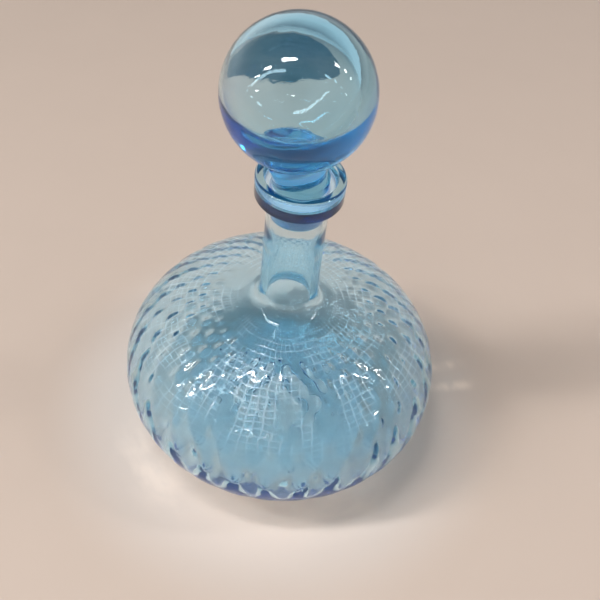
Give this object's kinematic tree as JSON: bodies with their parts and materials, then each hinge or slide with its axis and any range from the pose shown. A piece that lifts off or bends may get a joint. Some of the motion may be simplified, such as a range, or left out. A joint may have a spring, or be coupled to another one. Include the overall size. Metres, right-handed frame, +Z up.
{
  "type": "decanter",
  "caption": "Squat blue glass decanter with an optic-blown bowl, a long neck with a lip ring, and a lift-out hollow ball stopper with a ground plug.",
  "frame": {"origin": "middle of the foot, on the surface that the decanter stands on", "axes": "+Z up along the neck; the stopper's ball leans a little towards -X"},
  "size_m": [0.15, 0.15, 0.2238],
  "materials": {
    "bottle_glass": "clear pale blue blown glass, fire polished, with an optic relief inside",
    "lip_glass": "clear blue glass, thick, fire polished",
    "ball_glass": "clear blue blown glass, fire polished",
    "ground_glass": "blue glass with a ground, matte side"
  },
  "bodies": {
    "bottle": {"bottle": "bottle_glass", "lip_ring": "lip_glass"},
    "stopper": {"stopper_ball": "ball_glass", "stopper_plug": "ground_glass"}
  },
  "joints": [
    {"name": "stopper_lift", "type": "slide", "parent": "bottle", "child": "stopper", "axis": [0, 0, 1], "range_m": [0, 0.04]}
  ]
}
